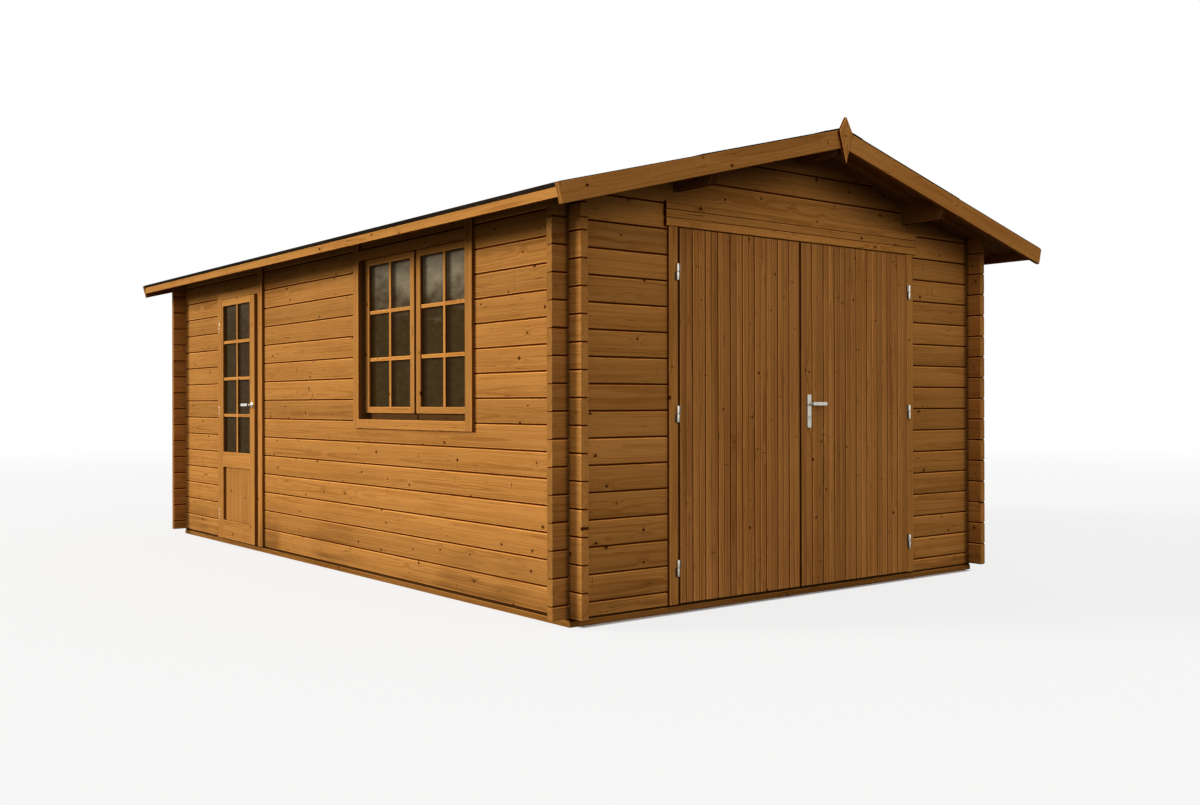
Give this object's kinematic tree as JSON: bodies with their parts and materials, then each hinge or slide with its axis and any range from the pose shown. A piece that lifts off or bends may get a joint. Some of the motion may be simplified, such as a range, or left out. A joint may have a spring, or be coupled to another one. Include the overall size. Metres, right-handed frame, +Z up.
{
  "type": "wooden garage",
  "caption": "Log-built wooden garage with a gabled felt roof, a double door in the front gable, and a casement window and a half-glazed door in the left wall.",
  "frame": {"origin": "on the ground under the middle of the whole building's bounding box", "axes": "+Z up; +X to the right along the front; the front gable with the double door faces -Y"},
  "size_m": [3.906, 6.001, 2.6726],
  "materials": {
    "stained_wood": "stained softwood logs and boards",
    "door_wood": "stained upright boards",
    "base_wood": "dark treated softwood",
    "frame_wood": "dark stained softwood",
    "roof_wood": "darker stained softwood under the roof",
    "felt": "mineral roofing felt",
    "glass": "clear",
    "steel": "satin"
  },
  "bodies": {
    "building": {"base_front": "base_wood", "base_back": "base_wood", "base_left": "base_wood", "base_right": "base_wood", "left_wall_front": "stained_wood", "left_wall_below_window": "stained_wood", "left_wall_above_window": "stained_wood", "left_wall_middle": "stained_wood", "left_wall_above_door": "stained_wood", "left_wall_back": "stained_wood", "right_wall": "stained_wood", "back_wall": "stained_wood", "front_wall_left": "stained_wood", "front_wall_right": "stained_wood", "front_gable": "stained_wood", "front_log_ends": "stained_wood", "back_log_ends": "stained_wood", "ridge_purlin": "roof_wood", "left_purlin": "roof_wood", "right_purlin": "roof_wood", "roof_boards_left": "roof_wood", "roof_boards_right": "roof_wood", "roof_felt_left": "felt", "roof_felt_right": "felt", "fascia_left": "stained_wood", "fascia_right": "stained_wood", "front_bargeboard_left": "stained_wood", "front_bargeboard_right": "stained_wood", "back_bargeboard_left": "stained_wood", "back_bargeboard_right": "stained_wood", "front_finial": "stained_wood", "back_finial": "stained_wood", "garage_casing": "stained_wood", "garage_header": "stained_wood", "garage_frame": "stained_wood", "window_casing": "stained_wood", "window_frame": "frame_wood", "window_sash_front": "stained_wood", "window_sash_back": "stained_wood", "window_glass": "glass", "side_casing": "stained_wood", "side_frame": "stained_wood", "frame_hinges": "steel"},
    "garage_door_left": {"garage_leaf_left": "door_wood", "garage_ledges_left": "door_wood", "garage_hinges_left": "steel"},
    "garage_door_right": {"garage_leaf_right": "door_wood", "garage_ledges_right": "door_wood", "garage_hinges_right": "steel", "garage_plate": "steel"},
    "garage_handle": {"garage_lever": "steel"},
    "side_door": {"side_leaf": "stained_wood", "side_panel": "stained_wood", "side_glass": "glass", "side_hinges": "steel", "side_plate": "steel"},
    "side_handle": {"side_lever": "steel"}
  },
  "joints": [
    {"name": "garage_door_left", "type": "hinge", "parent": "building", "child": "garage_door_left", "pos_m": [-0.962, -2.6825, 1], "axis": [0, 0, -1], "range_deg": [0, 150]},
    {"name": "garage_door_right", "type": "hinge", "parent": "building", "child": "garage_door_right", "pos_m": [0.962, -2.6825, 1], "axis": [0, 0, 1], "range_deg": [0, 150]},
    {"name": "side_door", "type": "hinge", "parent": "building", "child": "side_door", "pos_m": [-1.679, 1.9285, 1], "axis": [0, 0, -1], "range_deg": [0, 150]},
    {"name": "garage_lever", "type": "hinge", "parent": "garage_door_right", "child": "garage_handle", "pos_m": [0.044, -2.6815, 1.092], "axis": [0, 1, 0], "range_deg": [0, 40], "stiffness_Nm_per_rad": 1.2},
    {"name": "side_lever", "type": "hinge", "parent": "side_door", "child": "side_handle", "pos_m": [-1.693, 1.2445, 1.092], "axis": [-1, 0, 0], "range_deg": [0, 40], "stiffness_Nm_per_rad": 1.2}
  ]
}
